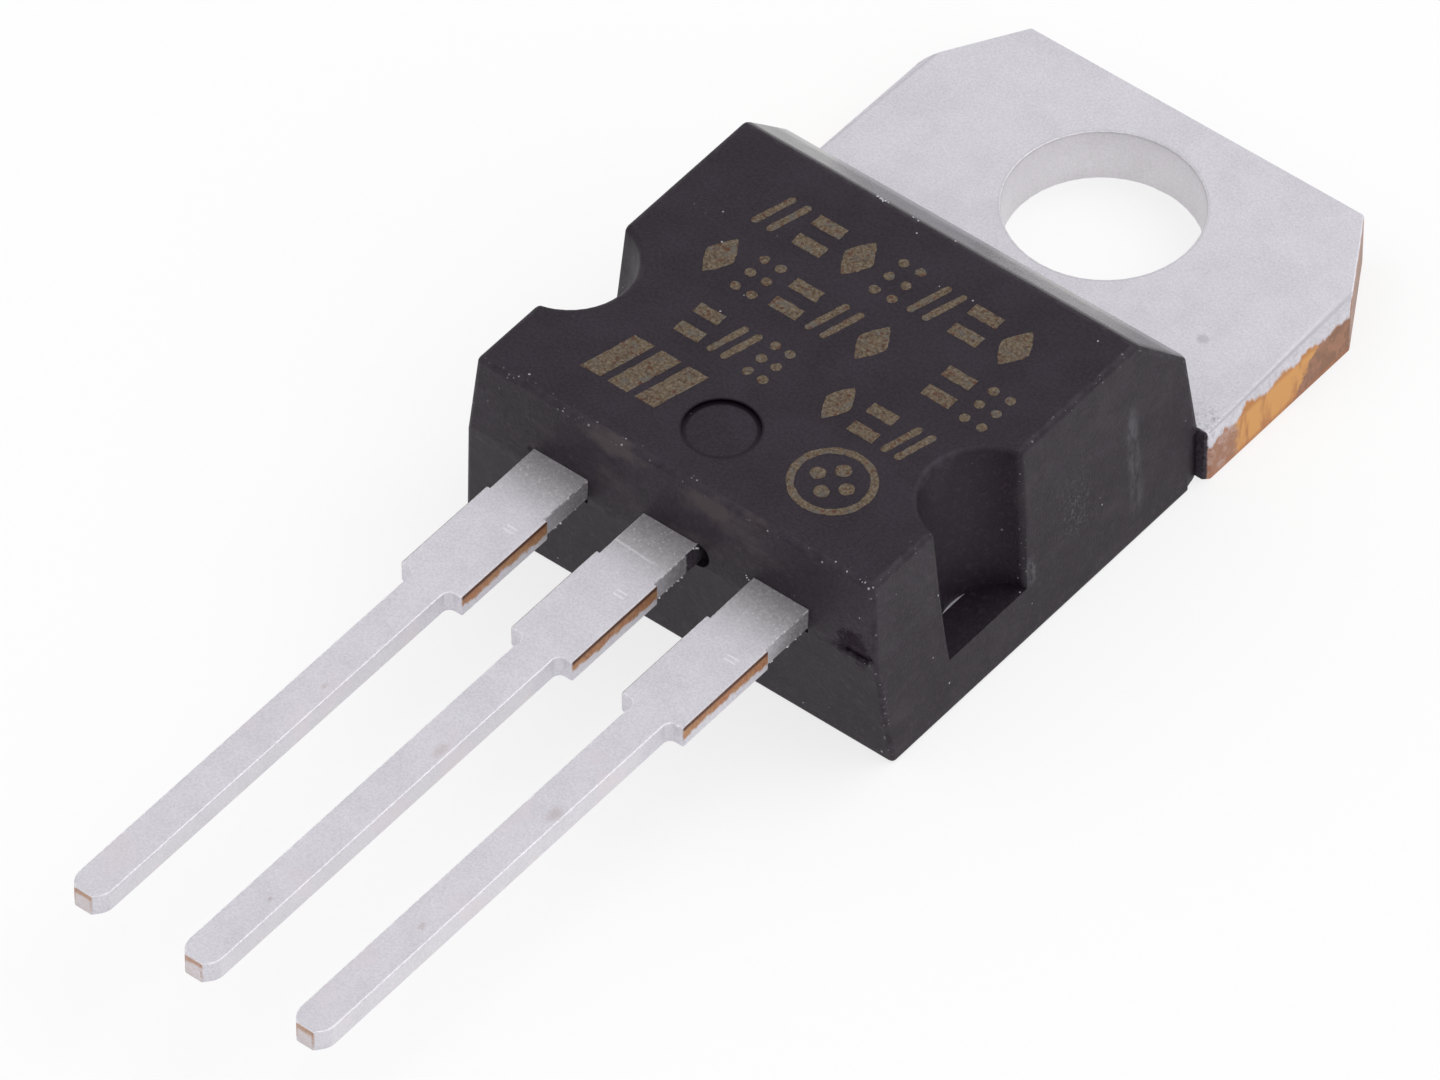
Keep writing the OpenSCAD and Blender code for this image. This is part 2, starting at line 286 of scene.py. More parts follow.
class MouldShader(Shader):
    """The moulding's shader, with a mask for each of its marks."""

    PIN_Y = -11.27
    PIN_RADIUS = 0.7
    SCAR_X, SCAR_Z = 4.22, 2.78
    PINHOLE_X, PINHOLE_Z = -3.25, 3.0
    NOTCH_Y = -9.65
    SLOPE_SUM = -0.451
    DUST_Y, DUST_Z = -7.0, 2.1
    SMUDGES = ((-1.35, 4.28), (0.9, 4.14))
    SCUFF_Y, SCUFF_Z = -5.3, 2.0
    RUB_Y, RUB_Z = -8.36, 1.55

    @cached_property
    def pits(self) -> Value:
        """Marks so dark that they hardly shine.

        The ejector pin's wall carries a painted shadow, darkest on the side away from the leads.
        The gate's scar is a ragged patch over the break: its own dark colour with painted shade in
        its recess. The pinhole beside the left lead is painted shade.

        Returns:
            The mask.
        """
        run = self.y - self.PIN_Y
        turned = (run - self.x * 0.5).rise(-0.6, 0.6) * 0.65 + 0.35
        wall = self.distance(self.x, run).near(self.PIN_RADIUS, 0.09, 0.03)
        pin = wall * self.z.rise(4.3, 4.4) * turned
        off = self.distance(self.x - self.SCAR_X, (self.z - self.SCAR_Z) * 1.1)
        scar = (off + self.ragged(0.9, 5.0, 4.0, 0.7)).rise(0.5, 0.25)
        away = self.distance(self.x - self.PINHOLE_X, self.z - self.PINHOLE_Z)
        return pin.larger(scar.larger(away.rise(0.09, 0.04)) * self.y.rise(-12.5, -12.6))

    @cached_property
    def in_notch(self) -> Value:
        """The walls and rims of the two side notches."""
        inside = self.y.near(self.NOTCH_Y, 1.4, 1.3)
        return inside * abs(self.x).rise(3.6, 3.7) * self.z.rise(1.0, 1.3)

    def shaded(self) -> Value:
        """Painted shade in the side notches and in the pits, and darker below the parting line."""
        notch = self.in_notch * self.z.rise(4.46, 4.38) * 0.8
        return (self.z.rise(2.75, 2.5) * 0.6).larger(notch).larger(self.pits)

    @cached_property
    def polished(self) -> Value:
        """The slope, smoother than the rest. Its 45 degrees keep y + z the same on it."""
        return (self.y + self.z).near(self.SLOPE_SUM, 0.06, 0.025) * self.z.rise(3.0, 3.1)

    def rubbed(self) -> Value:
        """The rounded edges outside the notches, rubbed in patches."""
        return self.rim * self.noise(5.0, 4.0).rise(0.35, 0.65) * (1.0 - self.in_notch)

    def mottled(self) -> Value:
        """Paler patches on the front and the sides, below the top face."""
        return self.noise(8.0, 5.0, 0.8).rise(0.5, 0.72) * self.z.rise(4.4, 4.3)

    def smudges(self) -> Value:
        """Cloudy rub marks on the front above the leads, fainter on the right side.

        Returns:
            The mask.
        """
        patches = self.noise(0.75, 5.0, 0.6, self.moved((2, 9, 4), (1, 1, 1.6)))
        front = self.y.rise(-12.5, -12.62) * self.z.rise(2.7, 3.2)
        general = patches.rise(0.52, 0.72) * (front * 0.6 + self.x.rise(4.4, 4.6) * 0.22)
        ragged = self.ragged(0.5, 3.0, 4.0, 0.7)
        left, right = (self.distance((self.x - x) * 0.4, self.z - z) + ragged
                       for x, z in self.SMUDGES)
        return general.larger(left.smaller(right).rise(0.36, 0.12) * front * 0.95)

    def scuffed(self) -> Value:
        """A pale upright rub mark on the right side, and a smaller one by the notch.

        Returns:
            The mask.
        """
        streak = self.y.near(self.SCUFF_Y, 0.26, 0.05) * self.z.near(self.SCUFF_Z, 1.5, 0.9)
        patchy = self.noise(5.0, 5.0, 0.75, self.moved((3, 1, 2), (1, 1, 0.35)))
        off = self.distance((self.y - self.RUB_Y) * 2.6, self.z - self.RUB_Z)
        rubbed = off.rise(0.5, 0.15) * self.noise(9.0, 4.0, 0.75).rise(0.4, 0.6)
        return (streak * patchy.rise(0.36, 0.66) + rubbed).smaller(1.0) * self.x.rise(4.4, 4.55)

    def dust(self) -> Value:
        """Fine pale specks, crowded along the front's upper edge and on the right side.

        Returns:
            The mask.
        """
        right, left = self.x.rise(4.2, 4.6), self.x.rise(-3.6, -4.6)
        strewn = self.specks(13.0, 0.26, 0.004) + self.specks(11.0, 0.26, 0.012) * right
        strewn = strewn + self.specks(12.0, 0.3, 0.02) * left * 0.5
        off = self.distance(self.y - self.DUST_Y, (self.z - self.DUST_Z) * 0.75)
        cloud = (off + self.noise(2.0, 4.0) * 0.9).rise(1.25, 0.5) * self.x.rise(4.5, 4.6)
        fine = self.noise(16.0, 5.0, 0.8).rise(0.52, 0.64) * cloud * 0.24
        front = self.y.rise(-12.45, -12.6) * self.z.rise(4.3, 4.42)
        edges = front * self.noise(1.6, 2.0).rise(0.35, 0.6) + self.rim * self.x.rise(4.3, 4.5) * 0.35
        crowd = self.specks(17.0, 0.42, 0.22) * edges.smaller(1.0)
        return (strewn + crowd + fine).smaller(1.0) * 0.8


@dataclass(frozen=True)
class MouldFinish:
    """Matt black moulding compound with a sandy grain, pale dust and rubbed edges."""

    dark: Colour = (0.0025, 0.0006, 0.0030)
    light: Colour = (0.0195, 0.0150, 0.0225)
    dust: Colour = (0.42, 0.41, 0.43)
    scuff: Colour = (0.070, 0.066, 0.076)
    haze: Colour = (0.070, 0.050, 0.070)
    smudge: Colour = (0.052, 0.042, 0.043)
    worn: Colour = (0.022, 0.018, 0.024)
    # painted shade: darkens the side notches and the pits; the same colour darkens the body below the
    # parting line
    painted_shade: Colour = (0.0030, 0.0, 0.0040)
    # painted sheen: the slope is redder than the body and paler towards its foot, for the reflection it
    # shows
    slope: Colour = (0.0155, 0.0090, 0.0105)
    slope_foot: Colour = (0.0200, 0.0150, 0.0170)
    sheen: Colour = (1.0, 0.88, 1.0)

    def material(self) -> Material:
        """Builds the material.

        Returns:
            The finished material.
        """
        shader = MouldShader("black_moulding")
        grain = shader.noise(15.0, 5.0, 0.75)
        speckle = shader.noise(0.9, 4.0).rise(0.3, 0.7) * 0.4 + grain.rise(0.38, 0.62) * 0.6
        polished, foot = shader.polished, shader.z.rise(3.75, 3.35)
        colour = shader.coated(
            shader.mix(speckle, self.dark, self.light),
            # painted shade in the side notches and the pits, and darker below the parting line
            (shader.shaded(), self.painted_shade),
            # painted sheen on the slope, paler towards its foot
            (polished * 0.9, shader.mix(foot, self.slope, self.slope_foot)),
            (shader.rubbed(), self.worn),
            (shader.mottled() * 0.34, self.haze),
            (shader.smudges(), self.smudge),
            (shader.scuffed(), self.scuff),
            (shader.dust(), self.dust))
        relief = (grain * 0.6 + shader.noise(30.0, 2.0) * 0.4) * (1.0 - polished * 0.92)
        rough = shader.noise(2.2) * 0.14 + 0.46 - polished * 0.26
        return shader.finish(Base_Color=colour, Roughness=rough, Normal=shader.bump(relief, 0.014),
                             Metallic=shader.pits * 0.7, Specular_IOR_Level=0.36,
                             Specular_Tint=self.sheen, Coat_Weight=polished * (foot * 0.72 + 0.28),
                             Coat_Roughness=0.3, Coat_IOR=1.65)


class TinShader(Shader):
    """The shader of an outer lead, with a mask for each of its marks."""

    STROKES = (-14.49, -14.6)
    STAINS = ((0.217, -19.503, 0.10), (2.757, -19.395, 0.12), (-2.372, -19.605, 0.05),
              (-2.05, -20.6, 0.04), (2.62, -22.9, 0.05), (0.12, -24.1, 0.04))

    def __init__(self, node: str, middle: float) -> None:
        """Starts the shader of one node.

        Args:
            node: The node.
            middle: The x of its lead's middle.
        """
        super().__init__(f"tin_plate_{node}")
        self.node = node
        self.middle = middle

    @cached_property
    def across(self) -> Value:
        """How far right of the lead's own middle the place is."""
        return self.x - self.middle

    @cached_property
    def from_hole(self) -> Value:
        """How far from the middle of the tab's hole the place is."""
        return self.distance(self.x, self.y)

    @cached_property
    def mottle(self) -> Value:
        """Fine rough noise that breaks up most of the marks."""
        return self.noise(13.0, 5.0, 0.8)

    @cached_property
    def thin(self) -> Value:
        """The lead beyond its shoulder."""
        return self.y.rise(-17.0, -17.3)

    @cached_property
    def end_face(self) -> Value:
        """The lead's end face."""
        return self.y.rise(-26.02, -26.04)

    @cached_property
    def root(self) -> Value:
        """Where residue of the moulding dulls the first stretch of the lead."""
        dulled = (self.y + self.noise(3.0) * 0.3).rise(-14.15, -12.9)
        return dulled * self.y.rise(-12.2, -12.4)

    def glint(self) -> Value:
        """Painted highlight: sparkle on the rounded edges, away from the hole."""
        sparkle = self.noise(13.0, 3.0, 0.7).rise(0.45, 0.62) * self.from_hole.rise(2.05, 2.15)
        return self.rim.larger(0.0) * abs(self.z - 2.1).rise(0.8, 0.9) * sparkle

    def stained(self) -> Value:
        """Small brown stains at set places.

        Returns:
            The mask.
        """
        ragged = self.ragged(0.14, 9.0)
        stains = [(self.distance(self.x - x, (self.y - y) * 0.6) + ragged)
                  .rise(radius * 1.6, radius * 0.2) for x, y, radius in self.STAINS]
        return sum(stains).smaller(1.0)

    def tool_marks(self) -> Value:
        """Two short strokes on the upper face."""
        strokes = sum(self.y.near(stroke, 0.03, 0.012) for stroke in self.STROKES)
        return strokes.smaller(1.0) * self.across.near(0.31, 0.15, 0.1) * 0.65 * self.z.rise(3.03, 3.05)

    def pressed(self) -> Operand:
        """Nothing on an outer lead."""
        return 0.0

    def flashed(self) -> Operand:
        """Nothing on an outer lead."""
        return 0.0

    def bare(self) -> Value:
        """Bare copper on the cut tie bar's sides and round the lead's end.

        Returns:
            The mask.
        """
        away = abs(self.across)
        wave = self.noise(4.0, 4.0, 0.65)
        upper = (self.z + wave * 0.34 + self.y.rise(-15.0, -14.0) * 0.06).rise(2.93, 3.03)
        stub = away.rise(0.68, 0.7) * self.y.rise(-16.42, -16.36) * self.y.rise(-13.9, -13.96)
        sides = (away + wave * 0.03).rise(0.168, 0.185) * wave.rise(0.35, 0.55) * 0.75
        crown = (self.z + wave * 0.12).rise(2.99, 3.06)
        tip = self.end_face * (sides + crown).smaller(1.0) * self.z.rise(2.64, 2.8)
        return (stub * upper + tip * 0.7).smaller(1.0)


class TabShader(TinShader):
    """The shader of the tab and the centre lead, with the marks that only they have."""

    CREASE_Y = -13.58
    CORNER = (0.8333, 0.5051)
    SPOT = (3.517, -1.571, 0.12)
    LINES = (4.6, -2.8, 0.75)
    SMEAR = (4.82, -3.15, 0.3)

    @cached_property
    def past_crease(self) -> Value:
        """Distance beyond the centre lead's crease, towards the body."""
        return self.y + self.ragged(0.12, 3.0, 2.0) + self.x * 0.05 - self.CREASE_Y

    def pressed(self) -> Value:
        """The part past the crease, scraped in patches."""
        scraped = self.noise(5.0, 4.0, 0.7, self.moved((2, 5, 1), (0.3, 1.6, 1))).rise(0.5, 0.62)
        return self.past_crease.rise(0.0, 0.03) * self.y.rise(-12.0, -12.4) * (scraped * 0.3 + 0.16)

    def tool_marks(self) -> Value:
        """The strokes, and a painted highlight along a crease across the lead."""
        crease = abs(self.past_crease).rise(0.035, 0.01) * self.across.rise(0.45, 0.15)
        return super().tool_marks() + crease * 0.5 * self.z.rise(3.03, 3.05)

    def flashed(self) -> Value:
        """Black compound on the tab's shoulders, and the same black along the right side of the centre
        lead's root.

        Returns:
            The mask.
        """
        ragged = self.ragged(0.12, 7.0)
        root = (self.y + ragged).rise(-13.1, -13.05) * self.y.rise(-12.4, -12.45)
        shoulder = (self.y + ragged * 0.4).rise(-3.39, -3.42) * self.y.rise(-4.0, -3.9)
        return (root * self.x.rise(0.605, 0.622)).larger(shoulder * abs(self.x).rise(4.6, 4.7))

    def edge_painted_shade(self) -> Value:
        """Painted shade where the right edge's roll turns over, which dims its highlight at the start,
        with darker dots below.

        Returns:
            The mask.
        """
        over = self.rim.rise(0.0, -1.0) * self.x.rise(0.0, 1.0)
        turning = self.z.rise(1.165, 1.2) * self.z.rise(1.2295, 1.2225)
        dotted = self.noise(9.0, 4.0, 0.8).rise(0.5, 0.6) * self.z.rise(1.2, 1.12)
        return over * (turning * 0.78 + dotted * 0.3)

    def mouth(self) -> Value:
        """Painted shade on the upper edge of the hole, which dims its highlight."""
        return self.from_hole.near(1.93, 0.05, 0.03) * self.z.rise(1.15, 1.2)

    def spotted(self) -> Value:
        """A soft grey spot and a few rubbed lines on the tab.

        Returns:
            The mask.
        """
        turned = self.add("Mapping", None,
                          {"Vector": self.place, "Rotation": (0.0, 0.0, 0.55)})
        drawn = self.add("VectorMath", {"operation": "MULTIPLY"},
                         {0: turned, 1: (1.3, 0.22, 1.0)})
        lines = self.spot(*self.LINES, 0.0) * self.noise(11.0, 3.0, 0.6, drawn).rise(0.6, 0.7)
        patchy = self.noise(9.0, 4.0, 0.8).rise(0.5, 0.62)
        smear = self.spot(*self.SMEAR, self.ragged(0.3, 3.0)) * patchy
        spot = self.spot(*self.SPOT, self.ragged(0.12, 4.0))
        return (spot * 0.36 + lines * 0.25 + smear * 0.6).smaller(1.0)

    def bare(self) -> Value:
        """Bare copper on the tab's two sheared sides and the lead's stubs.

        Returns:
            The mask.
        """
        wide = abs(self.x)
        side = wide.rise(4.98, 5.0) * self.y.rise(0.9, 0.8)
        corner = (wide * self.CORNER[0] + self.y * self.CORNER[1]).rise(4.645, 4.66)
        wave = self.noise(1.8, 5.0, 0.65, self.moved((0, 0, 0), (1, 1, 0.2)))
        sag = self.y.rise(-2.0, -3.1) * 0.17 + self.y.rise(-1.1, -0.6) * 0.04
        lower = (self.z + wave * 0.8 + sag).rise(1.49, 1.39)
        cut = (self.z + wave * 0.3).rise(1.37, 1.30)
        return (side * lower).larger(corner * cut * 0.9).larger(super().bare())


@dataclass(frozen=True)
class TinFinish:
    """Matt tin plate over copper, which shows bare where the metal was sheared."""

    tin: Colour = (0.765, 0.745, 0.80)
    shade: Colour = (0.505, 0.487, 0.535)
    # painted reflected light, warmer and paler, for upright faces of the metal
    painted_warm_light: Colour = (0.88, 0.84, 0.82)
    rosy: Colour = (0.74, 0.67, 0.71)
    # paler tin for strokes and specks, and the painted highlights on edges and the crease
    bright_mark_and_highlight: Colour = (0.88, 0.87, 0.90)
    dull: Colour = (0.43, 0.40, 0.415)
    dark_root_side: Colour = (0.16, 0.145, 0.15)
    # painted shade that dims the highlights on the roll and on the hole's upper edge
    edge_painted_shade: Colour = (0.42, 0.41, 0.44)
    blush: Colour = (0.60, 0.50, 0.46)
    brown: Colour = (0.40, 0.30, 0.29)
    grey: Colour = (0.30, 0.30, 0.33)
    copper: Colour = (0.68, 0.34, 0.10)
    deep_copper: Colour = (0.42, 0.16, 0.065)
    dark_copper: Colour = (0.22, 0.11, 0.075)
    rust: Colour = (0.34, 0.165, 0.11)
    pink: Colour = (0.46, 0.31, 0.27)
    orange: Colour = (0.48, 0.255, 0.115)
    singed: Colour = (0.105, 0.045, 0.030)
    compound: Colour = (0.010, 0.006, 0.011)
    pale_compound: Colour = (0.055, 0.040, 0.062)

    def material(self, shader: TinShader) -> Material:
        """Builds the material of one piece.

        Args:
            shader: The piece's own shader, still empty.

        Returns:
            The finished material.
        """
        grain, mottle, root = shader.noise(21.0, 4.0, 0.75), shader.mottle, shader.root
        away = abs(shader.across)
        speckle = shader.noise(1.3).rise(0.35, 0.7) * 0.15 + grain.rise(0.3, 0.7) * 0.5
        coats = [
            (shader.noise(0.7).rise(0.5, 0.66) * shader.thin * 0.4, self.rosy),
            # painted reflected light on the lead's upright sides
            (away.rise(0.372, 0.384) * shader.thin * 0.2, self.painted_warm_light),
            (root * (mottle.rise(0.3, 0.65) * 0.6 + 0.2), self.dull),
            (shader.pressed(), self.dull),
            # darker in patches on the sides of each lead's wide root, next to the body
            (root * away.rise(0.612, 0.63) * mottle.rise(0.62, 0.4) * 0.6, self.dark_root_side),
            # painted highlight on the rounded edges
            (shader.glint() * 0.8, self.bright_mark_and_highlight),
            (shader.end_face * mottle.rise(0.3, 0.6) * 0.6, self.blush),
            # strokes on every lead, and on the tab a painted highlight along the crease
            (shader.tool_marks(), self.bright_mark_and_highlight),
            (shader.noise(24.0, 2.0, 0.7).rise(0.60, 0.68) * root * 0.8, self.bright_mark_and_highlight),
            (shader.stained() * 0.34, self.brown)]
        if isinstance(shader, TabShader):
            # painted shade on the roll, on its right side only
            coats += [(shader.edge_painted_shade(), self.edge_painted_shade),
                      # painted reflected light on the wall of the hole
                      (shader.from_hole.rise(1.955, 1.915) * 0.28, self.painted_warm_light),
                      # painted shade on the hole's upper edge
                      (shader.mouth() * 0.2, self.edge_painted_shade),
                      (shader.spotted(), self.grey)]
        bare, flash = shader.bare(), shader.flashed()
        crept = shader.mix(mottle.rise(0.4, 0.6), self.compound, self.pale_compound)
        colour = shader.coated(shader.mix(speckle, self.tin, self.shade), *coats,
                               (bare, self._copper(shader)), (flash, crept))
        lines = shader.noise(9.0, 3.0, 0.6, shader.moved((0, 0, 0), (1, 0.05, 1)))
        normal = shader.bump(grain * 0.6 + mottle * 0.2 + lines * 0.2, 0.007)
        broken = shader.rim.larger(0.0) * mottle.rise(0.48, 0.6)
        rough = 0.42 + root * 0.06 + grain * 0.12 + flash * 0.3 + broken * 0.3
        return shader.finish(Base_Color=colour, Metallic=(0.72 - bare * 0.1) * (1.0 - flash),
                             Roughness=rough, Normal=normal)

    def _copper(self, shader: TinShader) -> Value:
        """Sheared copper, which changes from pink by the body to dark at the far corner.

        Args:
            shader: The piece's shader.

        Returns:
            The colour.
        """
        streaks = shader.noise(2.6, 4.0, 0.6, shader.moved((4, 2, 1), (1, 1, 0.3)))
        drift = shader.ragged(1.1, 1.8, 4.0, 0.65, shader.moved((7, 3, 5)))
        patches = shader.noise(3.2, 5.0, 0.75, shader.moved((1, 6, 2)))
        height, run = shader.z, shader.y + drift
        browned = shader.mix(patches.rise(0.45, 0.6), self.dark_copper, self.rust)
        pinkish = shader.mix(patches.rise(0.4, 0.55), self.pink, self.rust)
        rims = height.rise(0.2, 0.06) + (height + drift * 0.1).rise(0.86, 1.02)
        side = shader.coated(self.copper,
                             (streaks.rise(0.5, 0.74), self.deep_copper),
                             ((run - height * 0.9).rise(-1.1, -0.95) * 0.9, browned),
                             (run.rise(-2.5, -2.8) * 0.9, pinkish),
                             (rims.smaller(1.0) * 0.6, self.deep_copper))
        flecks = shader.noise(15.0, 4.0, 0.8)
        upper_edge = (height + drift * 0.03).rise(2.96, 3.01) * shader.y.rise(-17.5, -17.0)
        stub = shader.coated(self.orange,
                             (patches.rise(0.42, 0.6) * 0.8, self.deep_copper),
                             (flecks.rise(0.5, 0.62) * 0.6, self.dark_copper),
                             (flecks.rise(0.44, 0.36) * 0.5, self.pink),
                             (upper_edge * 0.95, self.singed))
        return shader.mix(shader.y.rise(-12.0, -12.5), side, stub)


@dataclass(frozen=True)
class PrintFinish:
    """Laser-marked print: scorched tan with paler and brown speckle."""

    tan: Colour = (0.102, 0.071, 0.045)
    pale: Colour = (0.180, 0.148, 0.112)
    brown: Colour = (0.045, 0.024, 0.018)
    red: Colour = (0.085, 0.026, 0.015)
    ashen: Colour = (0.095, 0.096, 0.094)

    def material(self) -> Material:
        """Builds the material.

        Returns:
            The finished material.
        """
        shader = Shader("laser_marking")
        grain = shader.noise(17.0, 4.0, 0.75)
        blotch = shader.noise(12.0, 4.0, 0.75, shader.moved((5, 8, 2)))
        ash = shader.noise(4.0, 3.0, 0.6, shader.moved((1, 4, 9)))
        colour = shader.coated(self.tan,
                               (grain.rise(0.42, 0.66), self.pale),
                               (blotch.rise(0.5, 0.66) * 0.8, self.brown),
                               (ash.rise(0.52, 0.68) * 0.6, self.ashen),
                               (shader.specks(10.0, 0.45, 0.65) * 0.65, self.red))
        return shader.finish(Base_Color=colour, Roughness=0.7, Normal=shader.bump(grain, 0.015),
                             Specular_IOR_Level=0.2)


@dataclass(frozen=True)
class PlainFinish:
    """A small piece's finish: two near colours, a grain and a sheen."""

    name: str
    first: Colour
    second: Colour
    metallic: float
    roughness: float
    per_mm: float = 8.0
    relief: float = 0.004

    def material(self) -> Material:
        """Builds the material.

        Returns:
            The finished material.
        """
        shader = Shader(self.name)
        grain = shader.noise(self.per_mm, 4.0)
        colour = shader.mix(grain.rise(0.3, 0.7), self.first, self.second)
        rough = grain * 0.12 + (self.roughness - 0.06)
        return shader.finish(Base_Color=colour, Metallic=self.metallic, Roughness=rough,
                             Normal=shader.bump(grain, self.relief))


SILICON = PlainFinish("silicon", (0.06, 0.075, 0.095), (0.12, 0.13, 0.16), 0.6, 0.18)
SOLDER = PlainFinish("solder", (0.36, 0.37, 0.38), (0.48, 0.48, 0.49), 0.9, 0.45)
WIRE = PlainFinish("bond_wire", (0.78, 0.78, 0.79), (0.66, 0.66, 0.68), 1.0, 0.3)
FLAKE = PlainFinish("pale_flake", (0.62, 0.60, 0.64), (0.42, 0.41, 0.44), 0.0, 0.6, 20.0)
BURR = PlainFinish("tin_burr", (0.86, 0.85, 0.88), (0.66, 0.65, 0.68), 0.5, 0.4, 20.0)


def added(name: str, data: bpy.types.ID) -> Piece:
    """Makes an object and links it to the scene.

    Args:
        name: Its name.
        data: Its mesh, camera or light.

    Returns:
        The object.
    """
    made = bpy.data.objects.new(name, data)
    bpy.context.scene.collection.objects.link(made)
    return made


def new_piece(name: str, points: Array, faces: Sequence[Sequence[int]],
              material: Material, slot: str | None = None) -> Piece:
    """Makes a mesh piece that rides on the body.

    Args:
        name: The piece's name.
        points: Its points in millimetres, one row each.
        faces: Pair numbers of each face, turned outwards.
        material: Its finish.
        slot: The record's material slot, or None where it has none.

    Returns:
        The object.
    """
    mesh = bpy.data.meshes.new(name)
    mesh.from_pydata((points * MM).tolist(), [], [list(face) for face in faces])
    mesh.polygons.foreach_set("use_smooth", np.ones(len(mesh.polygons), bool))
    mesh.update()
    return placed(name, mesh, material, slot)


def placed(name: str, mesh: bpy.types.Mesh, material: Material, slot: str | None) -> Piece:
    """Links a mesh as a piece of the object.

    Args:
        name: The piece's name.
        mesh: Its mesh, in metres.
        material: Its finish.
        slot: The record's material slot, or None where it has none; not used.

    Returns:
        The object.
    """
    piece = added(name, mesh)
    mesh.materials.clear()
    mesh.materials.append(material)
    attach(piece, BODY)
    log.info("%s: %d faces", name, len(mesh.polygons))
    return piece


def grid_faces(rows: int, columns: int, wrap_rows: bool, wrap_columns: bool) -> list[list[int]]:
    """Faces of a grid of points that may close on itself.

    Args:
        rows: Points along the first direction.
        columns: Points along the second direction.
        wrap_rows: Whether the last row joins the first.
        wrap_columns: Whether the last column joins the first.

    Returns:
        Four point numbers for each face.
    """
    row = np.arange(rows if wrap_rows else rows - 1)
    column = np.arange(columns if wrap_columns else columns - 1)
    i, j = np.meshgrid(row, column, indexing="ij")
    k, m = (i + 1) % rows, (j + 1) % columns
    corners = [i * columns + j, k * columns + j, k * columns + m, i * columns + m]
    return np.stack(corners, -1).reshape(-1, 4).tolist()


class Rounded:
    """A copy of one solid of the construction, with its real edges rounded."""

    def __init__(self, node: str) -> None:
        """Merges the solid's loose triangles and joins those that lie in one plane.

        Args:
            node: The node that is copied.
        """
        self.node = node
        self.mesh = bmesh.new()
        self.mesh.from_mesh(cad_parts[node].data)
        bmesh.ops.remove_doubles(self.mesh, verts=self.mesh.verts, dist=WELD)
        bmesh.ops.dissolve_limit(self.mesh, angle_limit=radians(FLAT_TURN),
                                 verts=self.mesh.verts, edges=self.mesh.edges)
        self.rim = self.mesh.faces.layers.float.new(RIM)
        self.mesh.normal_update()

    def outer_planes(self) -> set[bmesh.types.BMFace]:
        """Finds the faces that have the whole solid behind them.

        Returns:
            The faces.
        """
        points = np.array([vert.co for vert in self.mesh.verts])
        normals = np.array([face.normal for face in self.mesh.faces])
        starts = np.array([face.verts[0].co for face in self.mesh.faces])
        reach = (points @ normals.T - np.einsum("ij,ij->i", starts, normals)).max(0)
        return {face for face, most in zip(self.mesh.faces, reach) if most < PLANE_WITHIN}

    def round(self, pick: Callable[[Edge], bool], radius: float, segments: int,
              wear_and_painted_light: float = 1.0) -> None:
        """Rounds the picked edges.

        Args:
            pick: Tells whether an edge is rounded.
            radius: How far the rounding reaches from the edge, in millimetres.
            segments: Number of faces across the rounding.
            wear_and_painted_light: What the new faces carry for the finish: 0 to 1 for rubbing and
                painted highlights, or -1 for the painted shade on the roll.
        """
        self.mesh.edges.ensure_lookup_table()
        edges = [edge for edge in self.mesh.edges if pick(edge)]
        made = bmesh.ops.bevel(self.mesh, geom=edges, offset=radius * MM, offset_type="OFFSET",
                               segments=segments, profile=0.5, affect="EDGES",
                               clamp_overlap=False, loop_slide=True)
        for face in made["faces"]:
            face[self.rim] = wear_and_painted_light
        self.mesh.normal_update()

    def piece(self, name: str, material: Material, slot: str) -> Piece:
        """Turns the copy into a piece that stands for its node.

        Args:
            name: The piece's name.
            material: Its finish.
            slot: The record's material slot.

        Returns:
            The object.
        """
        for face in self.mesh.faces:
            face.smooth = True
        for edge in self.mesh.edges:
            edge.smooth = is_soft(edge)
        data = bpy.data.meshes.new(name)
        self.mesh.to_mesh(data)
        self.mesh.free()
        piece = placed(name, data, material, slot)
        normals = piece.modifiers.new("even_normals", "WEIGHTED_NORMAL")
        normals.keep_sharp = True
        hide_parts(self.node)
        return piece


def is_soft(edge: Edge) -> bool:
    """Whether the surface turns gently enough at an edge to be shaded as one."""
    return len(edge.link_faces) == 2 and edge.calc_face_angle(0.0) < radians(SOFT_TURN)


def is_ridge(edge: Edge, least: float = 25.0) -> bool:
    """Whether an edge stands out between two faces, with a turn of more than least degrees."""
    turned = len(edge.link_faces) == 2 and edge.calc_face_angle(0.0) > radians(least)
    return turned and edge.is_convex


def middle_of(edge: Edge) -> Vector:
    """The middle of an edge in millimetres."""
    return (edge.verts[0].co + edge.verts[1].co) / 2 / MM


@dataclass
class MouldedBody:
    """The black moulded body, with softened edges."""

    edge_radius: float = 0.12
    notch_from: float = 3.4
    notch_floor: float = 1.24
    finish: MouldFinish = MouldFinish()

    def build(self) -> Piece:
        """Builds the body.

        Returns:
            The object.
        """
        copy = Rounded("mould_body")
        walls = copy.outer_planes()

        def block_edge(edge: Edge) -> bool:
            """Edges between two outer faces of the block."""
            return is_ridge(edge, 1.0) and all(face in walls for face in edge.link_faces)

        def notch_rim(edge: Edge) -> bool:
            """Edges where a side notch opens out of the block."""
            near = abs(middle_of(edge).x) > self.notch_from and middle_of(edge).z > self.notch_floor
            return near and is_ridge(edge) and any(face in walls for face in edge.link_faces)

        copy.round(lambda edge: block_edge(edge) or notch_rim(edge), self.edge_radius, segments=4)
        return copy.piece("moulded_body", self.finish.material(), "mould")


